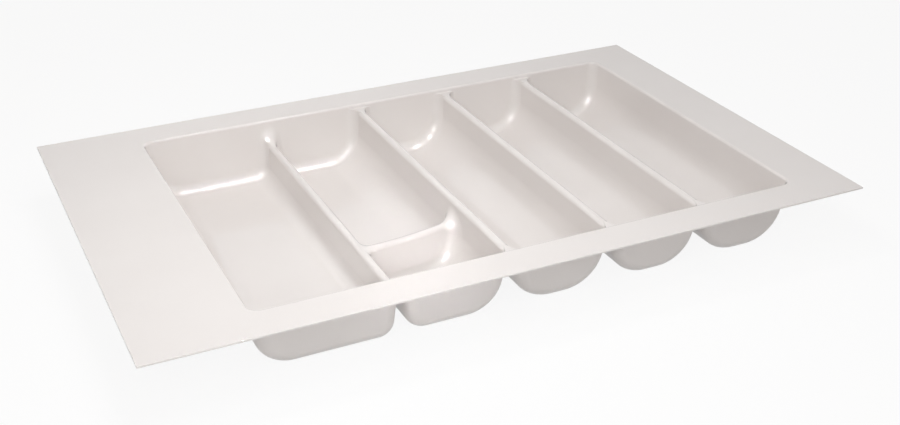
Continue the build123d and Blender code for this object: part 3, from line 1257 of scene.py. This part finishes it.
@dataclass(frozen=True)
class PlasticFinish:
    """The formed plastic on one kind of face.

    The scales of its patterns are in features to the metre. The limits are the parts of a pattern's range that
    count as none and as all.
    """

    name: str
    colour: Triple
    tone: Triple
    roughness: float
    spread: float
    coat: float
    peel: float
    wave: float
    scratch: float
    grain: float = 0.0004
    scratch_depth: float = 0.004
    refraction: float = 1.5
    coat_roughness: float = 0.03
    grain_share: float = 0.3
    cloud_scale: float = 9.0
    grain_scale: float = 900.0
    peel_scale: float = 170.0
    wave_scale: float = 22.0
    hair_scale: float = 60.0
    hair_stretch: Triple = (1.0, 14.0, 6.0)
    scuff_scale: float = 14.0
    cloud_limits: tuple[float, float] = (0.32, 0.68)
    hair_limits: tuple[float, float] = (0.64, 0.72)
    scuff_limits: tuple[float, float] = (0.52, 0.62)

    def build(self) -> bpy.types.Material:
        """Builds the material.

        Returns:
            A node material whose colour, roughness and surface change a little from place to place.
        """
        material = bpy.data.materials.new(self.name)
        graph = ShaderGraph(material)
        cloud = graph.ramp(graph.noise(self.cloud_scale, 2.0), *self.cloud_limits)
        grain = graph.noise(self.grain_scale, 2.0)
        peel = graph.noise(self.peel_scale, 2.0)
        wave = graph.noise(self.wave_scale, 1.0)
        hair = graph.noise(self.hair_scale, 3.0, self.hair_stretch)
        scuffed = graph.ramp(graph.noise(self.scuff_scale, 1.0), *self.scuff_limits)
        scuff = graph.ramp(hair, *self.hair_limits) * scuffed
        mottle = cloud * (1 - self.grain_share) + grain * self.grain_share
        colour = graph.tint(mottle, self.colour, self.tone)
        roughness = self.roughness + (cloud - 0.5) * self.spread + (peel - 0.5) * self.spread
        roughness = roughness + scuff * self.scratch
        depth = self.scratch_depth * self.scratch
        height = peel * self.peel + wave * self.wave + scuff * -depth + grain * self.grain
        bump = graph.add("ShaderNodeBump", {"Strength": 1.0, "Distance": MILLIMETRE, "Height": height}).out()
        sockets = {
            "Base Color": colour,
            "Roughness": roughness,
            "IOR": self.refraction,
            "Coat Weight": self.coat,
            "Coat Roughness": self.coat_roughness,
            "Normal": bump,
        }
        shader = graph.add("ShaderNodeBsdfPrincipled", sockets).out()
        graph.add("ShaderNodeOutputMaterial", {"Surface": shader})
        return material


TOP_GLOSS = PlasticFinish(
    name="gloss_plastic_top",
    colour=(0.80, 0.763, 0.742),
    tone=(0.775, 0.735, 0.714),
    roughness=0.05,
    spread=0.02,
    coat=0.5,
    peel=0.009,
    wave=0.1,
    scratch=0.16,
)
UNDERSIDE_SATIN = PlasticFinish(
    name="satin_plastic_underside",
    colour=(0.78, 0.745, 0.725),
    tone=(0.75, 0.715, 0.695),
    roughness=0.36,
    spread=0.08,
    coat=0.1,
    peel=0.03,
    wave=0.12,
    scratch=0.2,
)
TRIMMED_EDGE = PlasticFinish(
    name="trimmed_plastic_edge",
    colour=(0.78, 0.75, 0.73),
    tone=(0.73, 0.70, 0.68),
    roughness=0.5,
    spread=0.1,
    coat=0.0,
    peel=0.05,
    wave=0.05,
    scratch=0.3,
)


@dataclass
class CutleryTray:
    """The whole tray: six moulded compartments in a flat flange with four margins to trim."""

    finishes: dict[Skin, bpy.types.Material]
    sheet: Sheet = SHEET
    edge_radius: float = 0.45

    def build(self) -> list[bpy.types.Object]:
        """Builds every piece.

        Returns:
            The pieces, each named for the solid that it stands for.
        """
        moulded = {sizes.name: self.compartment_values(sizes) for sizes in compartments(self.sheet)}
        pieces = []
        for kind, group in ((CompartmentTree, moulded), (MarginTree, self.margin_values())):
            tree = kind(self.finishes).graph.tree
            for name, values in group.items():
                pieces.append(plain_mesh(f"{name}_skin", tree, values))
                self.dress(pieces[-1], name)
        return pieces

    def dress(self, piece: bpy.types.Object, node: str) -> None:
        """Puts a piece in place of its solid.

        Args:
            piece: The piece.
            node: The solid's name.
        """
        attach(piece, "root")
        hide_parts(node)

    def compartment_values(self, sizes: CompartmentSizes) -> dict[str, Union[float, bool]]:
        """The inputs of the compartment tree.

        Args:
            sizes: The compartment.

        Returns:
            The inputs, by name.
        """
        values: dict[str, Union[float, bool]] = {
            "Middle X": sizes.middle_x(),
            "Middle Y": (sizes.front_line + sizes.back_line) / 2,
            "Front Line": sizes.front_line,
            "Back Line": sizes.back_line,
            "Front Is Ridge": sizes.front is End.RIDGE,
            "Back Is Ridge": sizes.back is End.RIDGE,
            "Ridge Bend": self.sheet.ridge_bend,
            "Bend Fade": self.sheet.bend_fade,
        }
        for name, side in (("Left", sizes.left), ("Right", sizes.right)):
            values |= {f"{name} Line": side.line, f"{name} Is Rim": side.kind is Side.RIM}
            values |= {f"{name} {key}": value for key, value in side.inputs().items()}
        return values

    def margin_values(self) -> dict[str, dict[str, Union[float, bool]]]:
        """The inputs of the margin tree.

        Returns:
            The inputs of each margin, by the margin's name.
        """
        sheet = self.sheet
        left, right = sheet.left - sheet.rim_band, sheet.right + sheet.rim_band
        front, back = sheet.front - sheet.rim_band, sheet.back + sheet.rim_band
        half_width, half_depth = sheet.width / 2, sheet.depth / 2
        places = {
            "left_trim_margin": (-half_width, left, -half_depth, half_depth),
            "right_trim_margin": (right, half_width, -half_depth, half_depth),
            "front_trim_margin": (left, right, -half_depth, front),
            "back_trim_margin": (left, right, back, half_depth),
        }
        whole = (-half_width, half_width, -half_depth, half_depth)
        level = {"Bottom": sheet.flange_top - sheet.flange_thickness, "Top": sheet.flange_top}
        level |= {"Edge Radius": self.edge_radius, "Bottom Is Cut": True, "Top Is Cut": True}
        result = {}
        for name, edges in places.items():
            result[name] = dict(level)
            for edge, place, cut in zip(("Left", "Right", "Front", "Back"), edges, whole):
                result[name] |= {edge: place, f"{edge} Is Cut": place == cut}
        return result


@dataclass(frozen=True)
class PhotoCamera:
    """The camera at the photograph's viewing angle."""

    place: Triple = (-0.57475, -1.25099, 0.72992)
    yaw: float = 0.4431406
    pitch: float = 0.4793839
    roll: float = -0.0030636
    lens: float = 50.755
    sensor: float = 36.0
    clip: tuple[float, float] = (0.01, 50.0)

    def build(self) -> bpy.types.Object:
        """Adds the camera and makes it the scene's own.

        Returns:
            The camera.
        """
        yaw, pitch = self.yaw, self.pitch
        forward = Vector((math.sin(yaw) * math.cos(pitch), math.cos(yaw) * math.cos(pitch), -math.sin(pitch)))
        level = Vector((math.cos(yaw), -math.sin(yaw), 0.0))
        upward = level.cross(forward)
        right = math.cos(self.roll) * level + math.sin(self.roll) * upward
        top = -math.sin(self.roll) * level + math.cos(self.roll) * upward
        data = bpy.data.cameras.new("photo_camera")
        data.sensor_fit = "HORIZONTAL"
        data.sensor_width = self.sensor
        data.lens = self.lens
        data.clip_start, data.clip_end = self.clip
        camera = in_scene("photo_camera", data)
        rotation = Matrix((right, top, -forward)).transposed().to_4x4()
        camera.matrix_world = Matrix.Translation(self.place) @ rotation
        bpy.context.scene.camera = camera
        return camera


COOL = (0.965, 0.99, 1.0)
WARM = (1.0, 0.935, 0.905)


@dataclass(frozen=True)
class Softbox:
    """One rectangular studio lamp, aimed at a spot."""

    name: str
    place: Triple
    target: Triple
    size: tuple[float, float]
    power: float
    colour: Triple = (1.0, 1.0, 1.0)
    diffuse: bool = True
    glossy: bool = True
    spread: float = 180.0

    def build(self) -> bpy.types.Object:
        """Adds the lamp.

        Returns:
            The lamp.
        """
        data = bpy.data.lights.new(self.name, "AREA")
        data.shape = "RECTANGLE"
        data.size, data.size_y = self.size
        data.energy = self.power
        data.spread = math.radians(self.spread)
        data.color = self.colour
        lamp = in_scene(self.name, data)
        aim = Vector(self.target) - Vector(self.place)
        lamp.matrix_world = Matrix.Translation(self.place) @ aim.to_track_quat("-Z", "Y").to_matrix().to_4x4()
        lamp.visible_diffuse = self.diffuse
        lamp.visible_glossy = self.glossy
        if not self.diffuse:
            data.cycles.max_bounces = 0
        return lamp


@dataclass
class Studio:
    """The pale floor, the white surroundings and the lamps."""

    floor_size: float = 40.0
    floor_drop: float = 0.0002
    floor_grey: float = 0.85
    shadow: float = 0.1
    world_light: float = 0.34
    lamps: tuple[Softbox, ...] = (
        Softbox("front_left_key", (-0.6, -1.4, 1.0), (0.0, 0.0, 0.05), (0.9, 0.9), 10.2, COOL, glossy=False),
        Softbox("front_fill", (-0.14, -0.4, 0.8), (-0.14, -0.15, 0.0), (0.4, 0.4), 2.0, COOL, glossy=False),
        Softbox("overhead_fill", (-0.17, 0.06, 0.9), (-0.17, 0.04, 0.0), (0.34, 0.2), 2.3, glossy=False),
        Softbox("cross_light", (-0.45, -1.0, 0.5), (-0.08, -0.1, 0.035), (0.1, 0.1), 0.015, glossy=False, spread=10.0),
        Softbox("overhead_tube", (0.2, 0.2, 1.7), (0.2, 0.2, 0.0), (0.5, 0.02), 19.0, diffuse=False),
        Softbox("left_window", (-1.11, -0.46, 1.3), (0.0, 0.1, 0.0), (0.03, 1.3), 66.0, diffuse=False),
    )

    def build(self) -> None:
        """Adds the floor, the world and the lamps."""
        self.world()
        self.floor()
        for lamp in self.lamps:
            lamp.build()

    def seen(self, graph: ShaderGraph) -> Field:
        """1 for the rays that see the surroundings: from the camera, a reflection or through something clear."""
        path = graph.add("ShaderNodeLightPath")
        rays = [path.out(name) for name in ("Is Camera Ray", "Is Glossy Ray", "Is Transmission Ray")]
        return rays[0].at_least(rays[1]).at_least(rays[2])

    def world(self) -> None:
        """Makes the world white to look at and plain in the light it gives."""
        world = bpy.data.worlds.new("studio")
        bpy.context.scene.world = world
        graph = ShaderGraph(world)
        plain = graph.add("ShaderNodeBackground", {"Color": (*WARM, 1.0), "Strength": self.world_light})
        white = graph.add("ShaderNodeBackground", {"Color": (1.0, 1.0, 1.0, 1.0), "Strength": 1.0})
        mixed = graph.add("ShaderNodeMixShader", {0: self.seen(graph), 1: plain.out(), 2: white.out()})
        graph.add("ShaderNodeOutputWorld", {"Surface": mixed.out()})

    def floor(self) -> None:
        """Adds the floor, which looks white and keeps a little of the tray's shadow."""
        half = self.floor_size / 2
        mesh = bpy.data.meshes.new("studio_floor")
        corners = [(x, y, -self.floor_drop) for x, y in ((-half, -half), (half, -half), (half, half), (-half, half))]
        mesh.from_pydata(corners, [], [(0, 1, 2, 3)])
        floor = in_scene("studio_floor", mesh)
        material = bpy.data.materials.new("studio_floor")
        graph = ShaderGraph(material)
        matt = graph.add("ShaderNodeBsdfDiffuse", {"Color": (*(self.floor_grey,) * 3, 1.0)}).out()
        white = graph.add("ShaderNodeEmission", {"Color": (1.0, 1.0, 1.0, 1.0), "Strength": 1.0}).out()
        share = self.seen(graph) * (1 - self.shadow)
        mixed = graph.add("ShaderNodeMixShader", {0: share, 1: matt, 2: white})
        graph.add("ShaderNodeOutputMaterial", {"Surface": mixed.out()})
        mesh.materials.append(material)


def main() -> None:
    """Builds the camera, the tray and the studio, and reports each piece."""
    logging.basicConfig(level=logging.INFO, format="%(message)s")
    PhotoCamera().build()
    looks = {Skin.TOP: TOP_GLOSS, Skin.UNDERSIDE: UNDERSIDE_SATIN, Skin.CUT: TRIMMED_EDGE}
    tray = CutleryTray({skin: finish.build() for skin, finish in looks.items()})
    for piece in tray.build():
        log.info("%s: %d faces", piece.name, len(piece.data.polygons))
    Studio().build()
    bpy.context.scene.view_settings.view_transform = "Standard"


if __name__ == "__main__":
    main()
